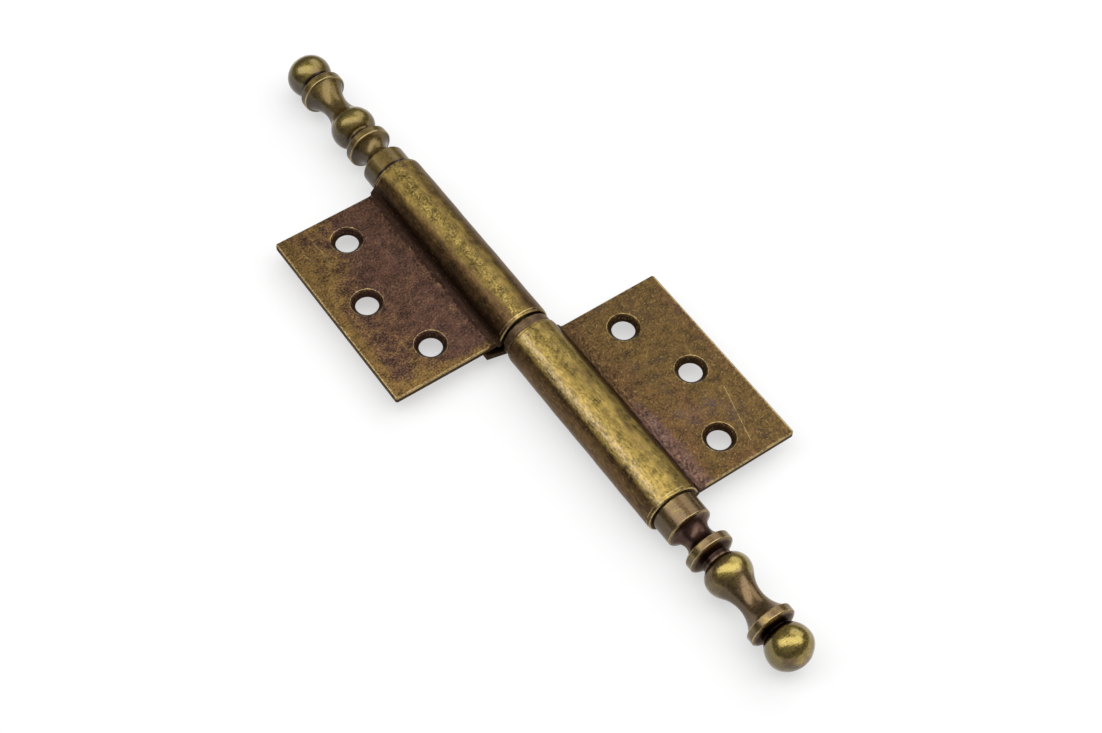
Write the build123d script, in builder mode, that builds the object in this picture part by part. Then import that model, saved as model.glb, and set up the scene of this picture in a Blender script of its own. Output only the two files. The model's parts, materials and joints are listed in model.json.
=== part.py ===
from build123d import *
import math
import os

os.makedirs("parts", exist_ok=True)

# Lift-off flag hinge with turned finials, lying open and flat, in millimetres.
# The pin runs along Y through the origin, which is the middle of the joint. The upper half, which lifts
# off, lies towards +Y with its leaf towards -X. The lower half, which holds the pin, is the same leaf and
# finial turned half round about Z. The leaves' front faces lie on the pin's axis and look up, along +Z.

# Leaf and knuckle, one piece of sheet
sheet = 1.6
knuckle_diameter = 12.0
knuckle_length = 48.6
knuckle_end_break = 0.3
leaf_length = 47.4
leaf_reach = 30.9
leaf_corner_radius = 0.6
front_bend_radius = 2.2
tail_slope = 18.0
seam_gap = 0.15
relief_margin = 0.5

# Screw holes, two in a row near the knuckle and one between them further out
screw_hole_diameter = 5.0
countersink_diameter = 7.0
countersink_angle = 90.0
screw_row_reach = 17.7
screw_row_spacing = 32.4
middle_screw_reach = 22.9

# Pin and bearing washer
running_clearance = 0.05
pin_pressed_length = 32.0
pin_free_length = 34.0
pin_end_chamfer = 1.2
washer_diameter = 11.2
washer_thickness = 2.1
washer_edge_break = 0.3
end_float = 0.5

# Finial, as distances out from the end of the knuckle and radii
stem_length = 12.0
stem_chamfer = 0.5
collar_radius = 5.05
collar_length = 5.15
rim_radius = 5.1
rim_width = 1.55
rim_edge_break = 0.15
rim_bevel_length = 1.1
lower_rim_place = 11.45
upper_rim_place = 30.45
cove_radius_at_neck = 3.0
cove_edge_land = 0.2
pinch_radius = 3.2
bulb_place = 17.5
bulb_radius = 5.05
bulb_back_round = 3.3
bulb_front_round = 4.3
waist_place = 24.5
waist_radius = 2.75
ball_place = 36.25
ball_radius = 5.0
ball_front_length = 4.25
ball_front_round = 3.6

# Values that follow from the ones above
knuckle_radius = knuckle_diameter / 2
bore_radius = knuckle_radius - sheet
running_radius = bore_radius - running_clearance
joint_gap = washer_thickness + end_float
knuckle_start = joint_gap / 2
knuckle_end = knuckle_start + knuckle_length
knuckle_middle = knuckle_start + knuckle_length / 2
leaf_setback = (knuckle_length - leaf_length) / 2
washer_seat = -knuckle_start

# Each half is drawn outwards from the joint; the sign is that of X on its leaf's side
halves = {"upper": -1, "lower": 1}


def across(side):
    """Plane across the pin at the joint, facing along the half, with X along the leaf and Y up."""
    return Plane(origin=(0, 0, 0), x_dir=(side, 0, 0), z_dir=(0, -side, 0))


def along(side):
    """Plane of the leaves, with Y running out along the half's side of the pin."""
    return Plane(origin=(0, 0, 0), x_dir=(side, 0, 0), z_dir=(0, 0, -1))


def polar(radius, degrees):
    """Point at a radius and an angle about the pin's axis."""
    angle = math.radians(degrees)
    return (radius * math.cos(angle), radius * math.sin(angle))


# Rolled section: the sheet bends up from the leaf into the knuckle, goes once round the bore, leaves it by a
# straight tail and ends against the back of the leaf, a seam's width away
bend_centre_x = math.sqrt(knuckle_radius**2 + 2 * knuckle_radius * front_bend_radius)
bend_centre = (bend_centre_x, front_bend_radius)
bend_meets = math.degrees(math.asin(front_bend_radius / (knuckle_radius + front_bend_radius)))
bend_sweep = bend_meets - 90
tail_leaves = 270 + tail_slope
roll_sweep = tail_leaves - bend_meets
tail_run = bore_radius * math.cos(math.radians(tail_slope)) - sheet - seam_gap
tail_length = tail_run / math.sin(math.radians(tail_slope))
tail_step = polar(tail_length, tail_slope)
relief_reach = knuckle_radius + relief_margin

for half, side in halves.items():
    with BuildPart() as leaf:
        with BuildSketch(across(side).offset(knuckle_start)):
            with BuildLine():
                Line((leaf_reach, 0), (bend_centre_x, 0))
                CenterArc(bend_centre, front_bend_radius, 270, bend_sweep)
                outside = CenterArc((0, 0), knuckle_radius, bend_meets, roll_sweep)
                tail_back = Line(outside @ 1, outside @ 1 + Vector(*tail_step))
                inside = CenterArc((0, 0), bore_radius, tail_leaves, -roll_sweep)
                tail_front = Line(inside @ 0, inside @ 0 + Vector(*tail_step))
                Line(tail_back @ 1, tail_front @ 1)
                CenterArc(bend_centre, front_bend_radius + sheet, 180 + bend_meets, -bend_sweep)
                Line((bend_centre_x, -sheet), (leaf_reach, -sheet))
                Line((leaf_reach, -sheet), (leaf_reach, 0))
            make_face()
        extrude(amount=knuckle_length)

        # The leaf, and the tail behind it, are a little shorter than the knuckle at both ends
        relief_width = leaf_reach - relief_reach
        relief_height = 2 * knuckle_radius
        for end in (knuckle_start, knuckle_end - leaf_setback):
            with BuildSketch(across(side).offset(end)):
                with Locations((relief_reach, 0)):
                    Rectangle(relief_width, relief_height, align=(Align.MIN, Align.CENTER))
            extrude(amount=leaf_setback, mode=Mode.SUBTRACT)
        leaf_corners = leaf.edges().filter_by(Axis.Z).group_by(Axis.X)[-1 if side > 0 else 0]
        fillet(leaf_corners, leaf_corner_radius)

        # The outer edge of both knuckle ends is broken
        rims = leaf.edges().filter_by(GeomType.CIRCLE).filter_by(
            lambda edge: math.isclose(edge.radius, knuckle_radius, abs_tol=1e-6)
        )
        chamfer(rims, knuckle_end_break)

        # Countersunk from the front
        row_middle = -side * knuckle_middle
        with Locations(
            (side * screw_row_reach, row_middle - screw_row_spacing / 2, 0),
            (side * middle_screw_reach, row_middle, 0),
            (side * screw_row_reach, row_middle + screw_row_spacing / 2, 0),
        ):
            CounterSinkHole(
                screw_hole_diameter / 2,
                countersink_diameter / 2,
                depth=2 * sheet,
                counter_sink_angle=countersink_angle,
            )
    leaf.part.label = f"{half}_leaf"
    export_step(leaf.part, f"parts/{half}_leaf.step")

# Turned finial: stem, collar, cove, rim, vase with its waist, rim and a ball flattened at its tip, all round
# the pin's axis
cove_start = collar_length + cove_edge_land
lower_rim_start = lower_rim_place - rim_width / 2
cove_end = lower_rim_start - cove_edge_land
cove_edge_radius = collar_radius - cove_edge_land
cove_middle = (cove_start + cove_end) / 2
bulb_back_reach = math.sqrt(bulb_back_round**2 - (pinch_radius - bulb_radius + bulb_back_round) ** 2)
bulb_back_angle = math.degrees(math.asin(bulb_back_reach / bulb_back_round))
bulb_back_centre = (bulb_radius - bulb_back_round, bulb_place)
waist_rise = bulb_radius - waist_radius
waist_run = waist_place - bulb_place
round_sum = (waist_run**2 + waist_rise**2) / (2 * waist_rise)
waist_round = round_sum - bulb_front_round
bulb_centre = (bulb_radius - bulb_front_round, bulb_place)
waist_centre = (waist_radius + waist_round, waist_place)
turn_angle = math.degrees(math.atan2(waist_run, waist_centre[0] - bulb_centre[0]))
upper_rim_start = upper_rim_place - rim_width / 2
flare_end = upper_rim_start - rim_edge_break
flare_angle = math.degrees(math.asin((flare_end - waist_place) / waist_round))
ball_angle = math.degrees(math.asin(pinch_radius / ball_radius))
ball_start = ball_place - ball_radius * math.cos(math.radians(ball_angle))
ball_front_centre = ball_radius - ball_front_round
ball_front_sum = ball_front_centre**2 + ball_front_length**2 - ball_front_round**2
ball_tip_round = ball_front_sum / (2 * (ball_front_length - ball_front_round))
ball_tip_setback = ball_tip_round - ball_front_length
ball_turn = math.degrees(math.atan2(ball_tip_setback, ball_front_centre))


def rim_points(place):
    """Flat rim with broken edges and a bevel down to the pinch beyond it, as radius and distance out."""
    start = place - rim_width / 2
    stop = place + rim_width / 2
    return [
        (rim_radius - rim_edge_break, start - rim_edge_break),
        (rim_radius, start),
        (rim_radius, stop),
        (rim_radius - rim_edge_break, stop + rim_edge_break),
        (pinch_radius, stop + rim_bevel_length),
    ]


for half, side in halves.items():
    with BuildPart() as finial:
        with BuildSketch(along(side).shift_origin((0, -side * knuckle_end, 0))):
            with BuildLine():
                Polyline(
                    (0, ball_place + ball_front_length),
                    (0, -stem_length),
                    (bore_radius - stem_chamfer, -stem_length),
                    (bore_radius, stem_chamfer - stem_length),
                    (bore_radius, 0),
                    (collar_radius, 0),
                    (collar_radius, collar_length),
                    (cove_edge_radius, cove_start),
                )
                cove = ThreePointArc(
                    (cove_edge_radius, cove_start),
                    (cove_radius_at_neck, cove_middle),
                    (cove_edge_radius, cove_end),
                )
                Polyline(cove @ 1, *rim_points(lower_rim_place), (pinch_radius, bulb_place - bulb_back_reach))
                CenterArc(bulb_back_centre, bulb_back_round, -bulb_back_angle, bulb_back_angle)
                CenterArc(bulb_centre, bulb_front_round, 0, turn_angle)
                flare = CenterArc(waist_centre, waist_round, 180 + turn_angle, -turn_angle - flare_angle)
                Polyline(flare @ 1, *rim_points(upper_rim_place), (pinch_radius, ball_start))
                CenterArc((0, ball_place), ball_radius, ball_angle - 90, 90 - ball_angle)
                CenterArc((ball_front_centre, ball_place), ball_front_round, 0, ball_turn)
                CenterArc((0, ball_place - ball_tip_setback), ball_tip_round, ball_turn, 90 - ball_turn)
            make_face()
        revolve(axis=Axis.Y)
    finial.part.label = f"{half}_finial"
    export_step(finial.part, f"parts/{half}_finial.step")

# Pin: pressed into the lower knuckle, and a little thinner where the upper knuckle turns on it
with BuildPart() as hinge_pin:
    with BuildSketch(Plane.XY):
        with BuildLine():
            Polyline(
                (0, washer_seat - pin_pressed_length),
                (bore_radius - stem_chamfer, washer_seat - pin_pressed_length),
                (bore_radius, washer_seat - pin_pressed_length + stem_chamfer),
                (bore_radius, washer_seat),
                (running_radius, washer_seat),
                (running_radius, washer_seat + pin_free_length - pin_end_chamfer),
                (running_radius - pin_end_chamfer, washer_seat + pin_free_length),
                (0, washer_seat + pin_free_length),
                close=True,
            )
        make_face()
    revolve(axis=Axis.Y)
hinge_pin.part.label = "hinge_pin"
export_step(hinge_pin.part, "parts/hinge_pin.step")

# Bearing washer, seated on the end of the lower knuckle
with BuildPart() as bearing_washer:
    with BuildSketch(Plane.XZ.offset(-washer_seat)):
        Circle(washer_diameter / 2)
        Circle(running_radius + running_clearance, mode=Mode.SUBTRACT)
    extrude(amount=-washer_thickness)
    washer_rims = bearing_washer.edges().filter_by(GeomType.CIRCLE).filter_by(
        lambda edge: math.isclose(edge.radius, washer_diameter / 2, abs_tol=1e-6)
    )
    chamfer(washer_rims, washer_edge_break)
bearing_washer.part.label = "bearing_washer"
export_step(bearing_washer.part, "parts/bearing_washer.step")
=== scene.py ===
"""The looks of a decorative lift-off hinge in antique brass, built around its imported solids.

Shapes are worked out in millimetres and turned into metres when a mesh is filled. The pin runs along Y. The
leaf is drawn for the lower half, towards +X, and the finial for the upper one, towards +Y. Each is turned
half round about Z for the other half.
"""

import json
import math

import bmesh
import bpy
import numpy as np
from mathutils import Matrix, Vector


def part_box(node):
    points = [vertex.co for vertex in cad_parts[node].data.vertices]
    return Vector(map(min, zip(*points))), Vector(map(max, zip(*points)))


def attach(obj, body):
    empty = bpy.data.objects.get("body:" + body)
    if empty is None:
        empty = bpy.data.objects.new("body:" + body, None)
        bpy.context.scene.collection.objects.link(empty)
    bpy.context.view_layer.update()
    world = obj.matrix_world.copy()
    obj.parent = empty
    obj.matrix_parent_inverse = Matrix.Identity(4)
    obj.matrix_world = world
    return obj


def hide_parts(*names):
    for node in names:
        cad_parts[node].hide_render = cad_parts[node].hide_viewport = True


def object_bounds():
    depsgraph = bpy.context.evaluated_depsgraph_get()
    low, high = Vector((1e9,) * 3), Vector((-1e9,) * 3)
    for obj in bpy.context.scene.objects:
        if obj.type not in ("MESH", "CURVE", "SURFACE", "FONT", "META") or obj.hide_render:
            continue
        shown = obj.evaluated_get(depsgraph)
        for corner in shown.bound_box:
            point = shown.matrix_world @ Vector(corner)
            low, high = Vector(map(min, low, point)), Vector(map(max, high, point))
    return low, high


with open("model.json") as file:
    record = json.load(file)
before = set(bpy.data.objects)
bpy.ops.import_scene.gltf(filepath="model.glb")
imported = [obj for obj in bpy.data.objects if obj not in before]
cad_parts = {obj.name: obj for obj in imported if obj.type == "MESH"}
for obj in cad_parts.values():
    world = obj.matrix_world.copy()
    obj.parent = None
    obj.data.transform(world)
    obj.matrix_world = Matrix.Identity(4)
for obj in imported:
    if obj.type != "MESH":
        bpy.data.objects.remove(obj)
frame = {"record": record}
cad_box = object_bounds()

MM = 0.001
weld_distance = 0.0005 * MM


def node_box(node):
    """Lowest and highest corners of a solid, in millimetres to a hundredth."""
    return [np.round(np.array(corner) / MM, 2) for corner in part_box(node)]


# Sizes read from the solids and from their screw holes
mounts = {mount["name"]: mount for mount in frame["record"]["mounts"]}
screw_row = mounts["lower_leaf_screw_row"]
middle_screw = mounts["lower_leaf_middle_screw"]
leaf_low, leaf_high = node_box("lower_leaf")
washer_low, washer_high = node_box("bearing_washer")
pin_low, pin_high = node_box("hinge_pin")
leaf_reach = leaf_high[0]
knuckle_radius = round(-leaf_low[0], 1)
knuckle_start = -leaf_high[1]
knuckle_end = -leaf_low[1]
knuckle_middle = (knuckle_start + knuckle_end) / 2
sheet = -screw_row["pos_m"][2] / MM
bore_radius = knuckle_radius - sheet
hole_radius = screw_row["dims"]["hole_r_mm"]
row_reach = screw_row["pos_m"][0] / MM
row_half_spacing = screw_row["dims"]["spacing_y_mm"] / 2
middle_reach = middle_screw["pos_m"][0] / MM

# Sheet: how it is rolled, and how its edges are broken
leaf_setback = 0.6
leaf_step_reach = 6.5
front_bend_radius = 2.2
tail_slope = math.radians(18)
seam_gap = 0.15
countersink_radius = 3.5
rim_round = 0.22
hole_back_round = 0.1
front_edge_round = 0.28
back_edge_round = 0.15
tail_edge_round = 0.5
leaf_corner_round = 0.6
free_tail_setback = 1.8
knuckle_land = 0.72
knuckle_land_depth = 0.07
crease_depth = 0.03

# Finial, as distances out from the end of the knuckle and radii
stem_length = 12.0
stem_chamfer = 0.5
collar_radius = 5.05
collar_length = 5.15
rim_radius = 5.1
rim_width = 1.55
rim_edge_break = 0.15
rim_bevel_length = 1.1
lower_rim_place = 11.45
upper_rim_place = 30.45
cove_radius_at_neck = 3.0
cove_edge_land = 0.2
pinch_radius = 3.2
bulb_place = 17.5
bulb_radius = 5.05
bulb_back_round = 3.3
bulb_front_round = 4.3
waist_place = 24.5
waist_radius = 2.75
ball_place = 36.25
ball_radius = 5.0
ball_front_length = 4.25
ball_front_round = 3.6
turned_softness = 0.07
# How far painted shade reaches into the pinch behind each rim
pinch_shade_reach = 1.7
rim_line_pitch = 0.42
rim_line_depth = 0.025
collar_line_depth = 0.004

# Pin and washer
washer_radius = round(washer_high[0], 1)
washer_edge_round = 0.3
washer_land = 0.45
washer_top_gap = 0.03
running_clearance = 0.05
pin_end_chamfer = 1.2
pin_softness = 0.05

# Wear of the sheet: bare lines and a paler haze along its edges; a painted highlight and a painted shade
# strip on the knuckle in degrees
edge_line_width = 0.2
edge_haze_reach = 0.9
edge_haze = 0.4
land_line_width = 0.09
ridge_highlight_width = 12.5
shade_strip_width = 10
shade_strip_share = 0.45
# Per half: where patina and painted shade lie in the bend, the knuckle's painted shade on its flanks and in a
# strip, and where its worn crest gets a painted highlight
sheet_wear_and_painted_light = {
    "lower": {
        "fold_starts": 1.8,
        "fold_stops": 3.6,
        "flank_shade_low": 0.6,
        "flank_shade_high": 0.8,
        "flank_shade_lean": 0,
        "ridge_highlight_angle": 122.5,
        "shade_strip_angle": 77,
    },
    "upper": {
        "fold_starts": 0.3,
        "fold_stops": 5.4,
        "flank_shade_low": 0.66,
        "flank_shade_high": 1.1,
        "flank_shade_lean": 0.1,
        "ridge_highlight_angle": 83,
        "shade_strip_angle": 104,
    },
}

# How far a painted shadow reaches along the finials' collars from the knuckle
collar_shadow_reaches = {"lower": 0.4, "upper": 1.4}


def joined(stops, counts):
    """Numbers through the stops, with so many equal steps between each pair."""
    runs = [np.linspace(a, b, n, endpoint=False) for a, b, n in zip(stops[:-1], stops[1:], counts)]
    return np.append(np.concatenate(runs), stops[-1])


def side_by_side(*arrays):
    """Arrays joined along a new last axis."""
    return np.stack(arrays, axis=-1)


def smooth_step(low, high, value):
    """0 below low, 1 above high, and 3t^2 - 2t^3 between them."""
    t = np.clip((value - low) / (high - low), 0, 1)
    return t * t * (3 - 2 * t)


def bump_at(value, place, width):
    """Bell curve of height 1: exp(-((value - place) / width)^2)."""
    return np.exp(-(((value - place) / width) ** 2))


def set_back(distance, radius):
    """Set-back of a rounded edge: radius - sqrt(radius^2 - (radius - distance)^2) within the radius."""
    inside = np.clip(radius - distance, 0, radius)
    return radius - np.sqrt(radius**2 - inside**2)


def grid_faces(rows, columns):
    """Four-cornered faces of a grid of points in rows, whose columns close into a ring."""
    row, column = np.meshgrid(np.arange(rows - 1), np.arange(columns), indexing="ij")
    after = (column + 1) % columns
    here = row * columns
    beyond = (row + 1) * columns
    return side_by_side(here + column, beyond + column, beyond + after, here + after)


def fill_piece(name, points, faces, masks, turned_round=False):
    """Object from points in millimetres, face arrays and point masks, welded where points coincide."""
    if turned_round:
        points = points * (-1, -1, 1)
    mesh = bpy.data.meshes.new(name)
    faces = [face.reshape(-1, face.shape[-1]) for face in faces]
    corners = np.concatenate([face.ravel() for face in faces])
    totals = np.concatenate([np.full(len(face), face.shape[1]) for face in faces])
    mesh.vertices.add(len(points))
    mesh.vertices.foreach_set("co", (points * MM).astype(np.float32).ravel())
    mesh.loops.add(len(corners))
    mesh.loops.foreach_set("vertex_index", corners.astype(np.int32))
    mesh.polygons.add(len(totals))
    mesh.polygons.foreach_set("loop_start", (np.cumsum(totals) - totals).astype(np.int32))
    for mask, values in masks.items():
        attribute = mesh.attributes.new(mask, "FLOAT", "POINT")
        attribute.data.foreach_set("value", values.astype(np.float32))
    mesh.update(calc_edges=True)
    welded = bmesh.new()
    welded.from_mesh(mesh)
    bmesh.ops.remove_doubles(welded, verts=welded.verts, dist=weld_distance)
    welded.to_mesh(mesh)
    welded.free()
    mesh.polygons.foreach_set("use_smooth", np.ones(len(mesh.polygons), bool))
    mesh.validate()
    piece = bpy.data.objects.new(name, mesh)
    bpy.context.scene.collection.objects.link(piece)
    return piece


# Middle line of the rolled sheet, in four runs: leaf, bend, knuckle and tail
half_sheet = sheet / 2
bend_arc = front_bend_radius + half_sheet
roll_arc = knuckle_radius - half_sheet
bend_x = math.sqrt(knuckle_radius**2 + 2 * knuckle_radius * front_bend_radius)
bend_meets = math.asin(front_bend_radius / (knuckle_radius + front_bend_radius))
tail_leaves = 1.5 * math.pi + tail_slope
tail_run = bore_radius * math.cos(tail_slope) - sheet - seam_gap
bend_starts = leaf_reach - bend_x
roll_starts = bend_starts + bend_arc * (math.pi / 2 - bend_meets)
tail_starts = roll_starts + roll_arc * (tail_leaves - bend_meets)
tail_ends = tail_starts + tail_run / math.sin(tail_slope)


def rolled_line(s):
    """Middle of the sheet and its normal to the front, at a distance s in from the leaf's outer edge.

    The line runs straight along the leaf, turns up round the bend's centre, goes round the pin's axis and
    leaves it straight along the tail. Points and normals are X along the leaf and Z.
    """
    bend_angle = 1.5 * math.pi - (s - bend_starts) / bend_arc
    roll_angle = bend_meets + (s - roll_starts) / roll_arc
    runs = [s < bend_starts, s < roll_starts, s < tail_starts]
    roll_end = np.array([math.cos(tail_leaves), math.sin(tail_leaves)])
    tail_x = roll_arc * roll_end[0] + (s - tail_starts) * math.cos(tail_slope)
    tail_z = roll_arc * roll_end[1] + (s - tail_starts) * math.sin(tail_slope)
    turning_x = bend_x + bend_arc * np.cos(bend_angle)
    turning_z = front_bend_radius + bend_arc * np.sin(bend_angle)
    x = np.select(runs, [leaf_reach - s, turning_x, roll_arc * np.cos(roll_angle)], tail_x)
    z = np.select(runs, [0 * s - half_sheet, turning_z, roll_arc * np.sin(roll_angle)], tail_z)
    normal_x = np.select(runs, [0 * s, -np.cos(bend_angle), np.cos(roll_angle)], roll_end[0])
    normal_z = np.select(runs, [0 * s + 1, -np.sin(bend_angle), np.sin(roll_angle)], roll_end[1])
    return x, z, normal_x, normal_z


leaf_step_place = bend_starts + bend_arc * math.asin((bend_x - leaf_step_reach) / bend_arc)
tail_step_place = tail_starts + (leaf_step_reach - roll_arc * math.cos(tail_leaves)) / math.cos(tail_slope)

# Square blocks round the screw holes, in steps that both hole rows share
steps_between_rows = 13
block_steps = 22
block_step = (middle_reach - row_reach) / steps_between_rows
block_half = block_step * block_steps / 2
edge_zone = 1.4


def edge_profile():
    """Section of the sheet's end, from front to back: distance in from the end, and height from the middle.

    Flat land, quarter round of the front edge, end face, quarter round of the back edge and flat land.
    """
    turn = np.linspace(0, math.pi / 2, 6)
    front_land = np.array([1.05, 0.92, 0.84, 0.77, 0.7, 0.62, 0.45])
    front_in = front_edge_round * (1 - np.sin(turn))
    front_up = half_sheet - front_edge_round * (1 - np.cos(turn))
    face_up = np.linspace(front_up[-1], back_edge_round - half_sheet, 5)[1:-1]
    back_turn = np.linspace(0, math.pi / 2, 5)
    back_in = back_edge_round * (1 - np.cos(back_turn))
    back_up = back_edge_round * (1 - np.sin(back_turn)) - half_sheet
    back_land = np.array([0.4, 0.7, 1.05])
    inwards = np.concatenate([front_land, front_in, 0 * face_up, back_in, back_land])
    front_flat = np.full(len(front_land), half_sheet)
    back_flat = np.full(len(back_land), -half_sheet)
    upwards = np.concatenate([front_flat, front_up, face_up, back_up, back_flat])
    return inwards, upwards


def leaf_shape(
    olive_share, fold_starts, fold_stops, flank_shade_low, flank_shade_high, flank_shade_lean, ridge_highlight_angle, shade_strip_angle
):
    """Points, faces and masks of a leaf with its rolled knuckle, for the lower half.

    The sheet is a grid: along it run the lines of rolled_line, across it goes a closed loop of front lines,
    end section, back lines and end section. A point is the middle line plus its height times the normal. A
    square block round each screw hole is left out of the grid, and hole_shape fills it.

    The masks are shares from 0 to 1. olive_share gives how much of the leaf's purple-brown has turned olive,
    from the reach and the place along the leaf. Patina and painted shade lie in the bend from fold_starts to
    fold_stops, both counted from the bend's start. The knuckle gets brown painted shade where its normal's Z
    is below flank_shade_low and none above flank_shade_high, and flank_shade_lean shifts that from one end to
    the other. A strip of painted shade runs along the knuckle at shade_strip_angle, and a worn crest with a
    painted highlight at ridge_highlight_angle, in degrees round the pin from the leaf.
    """
    leaf_half = (knuckle_end - knuckle_start) / 2 - leaf_setback
    along_stops = [front_edge_round, leaf_corner_round, 1.6, leaf_reach - middle_reach - block_half]
    along_stops += [leaf_reach - row_reach + block_half, bend_starts, roll_starts, tail_starts]
    along_stops += [tail_step_place - 0.2, tail_step_place + 0.2, tail_ends - tail_edge_round]
    along_counts = [3, 4, 5, block_steps + steps_between_rows, 12, 16, 110, 8, 4, 6]
    quarter = np.linspace(0, math.pi / 2, 6)
    tip = front_edge_round * (1 - np.cos(quarter[:-1]))
    tail_tip = tail_ends - tail_edge_round * (1 - np.sin(quarter[1:]))
    along = np.concatenate([tip, joined(along_stops, along_counts), tail_tip])
    first_block = len(tip) + sum(along_counts[:3])

    inner = leaf_half - edge_zone
    row_near = row_half_spacing - block_half
    row_far = row_half_spacing + block_half
    across_stops = [-inner, -row_far, -row_near, -block_half, block_half, row_near, row_far, inner]
    across_counts = [4, block_steps, 14, block_steps, 14, block_steps, 4]
    lines = joined(across_stops, across_counts)
    inwards, upwards = edge_profile()
    ends = len(inwards)
    flat = np.zeros(len(lines))

    # The closed loop across the sheet: places on the lines, then sign and distance in at the two ends
    place = np.concatenate([lines, np.zeros(ends), lines[::-1], np.zeros(ends)])
    side = np.concatenate([flat, np.ones(ends), flat, -np.ones(ends)])
    inset = np.concatenate([flat, inwards, flat, inwards[::-1]])
    height = np.concatenate([flat + half_sheet, upwards, flat - half_sheet, upwards[::-1]])

    s = along[:, None]
    x, z, normal_x, normal_z = rolled_line(s)
    rolled = smooth_step(leaf_step_place - 0.15, leaf_step_place + 0.15, s)
    tail = smooth_step(tail_step_place - 0.15, tail_step_place + 0.15, s)
    tail_short = free_tail_setback * tail * (side + np.sign(place) > 0)
    half_length = leaf_half + leaf_setback * rolled - set_back(s, leaf_corner_round) - tail_short
    across = place * (1 - tail_short / inner) + side * (half_length - inset)
    limit = half_sheet - set_back(s, front_edge_round) - set_back(tail_ends - s, tail_edge_round)
    up = np.clip(height, -limit, limit)

    # A shallow land at each end of the knuckle, and the unevenness of rolling by hand
    from_end = half_length - np.abs(across)
    front = (height > 0) & (from_end > 1e-6)
    past_bend = smooth_step(roll_starts, roll_starts + 1, s)
    round_knuckle = past_bend * (1 - smooth_step(tail_starts - 1, tail_starts, s))
    land = knuckle_land_depth * (1 - smooth_step(knuckle_land - 0.06, knuckle_land + 0.06, from_end))
    wave = 0.02 * np.sin(across * 0.31 + 0.7) + 0.015 * np.sin(across * 0.83 + s * 0.4)
    wave = wave + 0.012 * np.sin(s * 0.9)
    up = up - np.where(front, round_knuckle * (land + wave * smooth_step(0.2, 1.5, from_end)), 0)

    # A rough crease pressed in where the sheet starts to bend
    ragged = 0.6 + 0.25 * np.sin(across * 3.1 + 0.4) + 0.2 * np.sin(across * 7.3 + 2 * np.sin(across * 0.9))
    crease = bump_at(s, bend_starts + 0.5 + 0.15 * np.sin(across * 1.3), 0.3) * np.clip(ragged, 0, 1)
    up = up - np.where(front, crease_depth * crease * smooth_step(0.1, 0.6, from_end), 0)

    points = side_by_side(x + up * normal_x, -knuckle_middle - across, z + up * normal_z)
    rows, columns = across.shape
    faces = grid_faces(rows, columns)
    kept = np.ones(faces.shape[:2], bool)
    front_starts = np.cumsum([0] + across_counts)
    row_block = slice(first_block + steps_between_rows, first_block + steps_between_rows + block_steps)
    middle_block = slice(first_block, first_block + block_steps)
    last_line = 2 * len(lines) + ends - 1
    blocks = ((row_block, front_starts[1]), (middle_block, front_starts[3]), (row_block, front_starts[5]))
    for block, start in blocks:
        kept[block, start:start + block_steps] = False
        kept[block, last_line - start - block_steps:last_line - start] = False

    # Flat ends of the sheet, bridged from the front of the loop to the back
    bridge = np.arange(-ends // 2, len(lines) + ends // 2)
    far_side = (2 * len(lines) + ends - 1 - bridge) % columns
    near_side = bridge % columns
    tip_faces = side_by_side(near_side[:-1], near_side[1:], far_side[1:], far_side[:-1])
    tail_faces = tip_faces[:, ::-1] + (rows - 1) * columns

    # Bare metal: the sheet's edges, a line inside the knuckle's land, and flecks where the bend starts
    bend_middle = (bend_starts + roll_starts) / 2
    in_bend = smooth_step(bend_starts - 1, bend_starts, s)
    in_bend = in_bend * (1 - smooth_step(bend_middle, roll_starts + 0.5, s))
    past_tip = smooth_step(0.02, 0.16, s)
    outer = bump_at(s, 0.24, edge_line_width) * past_tip
    narrow = np.maximum(bump_at(from_end, 0, edge_line_width) * (1 - in_bend), outer)
    haze = np.maximum(np.exp(-from_end / edge_haze_reach), np.exp(-s / edge_haze_reach) * past_tip)
    broad = edge_haze * haze * (1 - in_bend)
    second = 0.85 * bump_at(from_end, knuckle_land + 0.05, land_line_width) * round_knuckle
    face_top = smooth_step(0.25, 0.75, height / half_sheet)
    shown = face_top * (1 - smooth_step(tail_starts - 8, tail_starts - 5, s))
    into_bend = s - bend_starts + 0.6 * (ragged - 0.6) + 0.3 * np.sin(across * 0.7) * np.sin(across * 0.23)
    broken = smooth_step(0.3, 0.8, np.sin(across * 2.1 + 2 * np.sin(across * 0.47)))
    fleck = 0.55 * bump_at(into_bend, fold_starts - 0.3, 0.2) * broken
    edge = np.clip(np.maximum(np.maximum(narrow, broad), np.maximum(second, fleck)), 0, 1) * shown

    # Patina and painted shade in the bend and its crease, patina in pits before it, and painted shade on the
    # sheet's end and side faces, a little on its back, and inside the roll
    fold = smooth_step(fold_starts - 0.3, fold_starts + 0.3, into_bend)
    fold = fold * (1 - smooth_step(fold_stops - 1, fold_stops + 1, into_bend)) + 0.9 * crease
    pitted = np.sin(across * 2.3 + 3 * np.sin(s * 1.7)) * np.sin(s * 4.1 + 2 * np.sin(across * 1.1))
    fold = fold + 0.8 * smooth_step(0.05, 0.5, pitted) * bump_at(s, bend_starts - 0.6, 1.3)
    # Painted shade on the end faces, inside the roll and on the outer side face
    end_face = (from_end < 0.5 * front_edge_round) * 0.95 * (1 - face_top)
    inside = 0.55 * (((height < 0) & (s > bend_middle)) | (s > tail_starts - 5))
    side_face = 0.95 * (1 - smooth_step(0.02, 0.12, s))
    shade_and_grime = np.clip(np.where(height > 0, fold, 0.2) + end_face + side_face + inside, 0, 1)

    # Olive on the leaf, where the sheet is the knuckle, painted shade on the knuckle's flanks and in a strip,
    # and its worn crest with a painted highlight
    olive = olive_share(x, across)
    roll = smooth_step(bend_middle + 0.5, roll_starts + 1.5, s) + 0 * across
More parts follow.
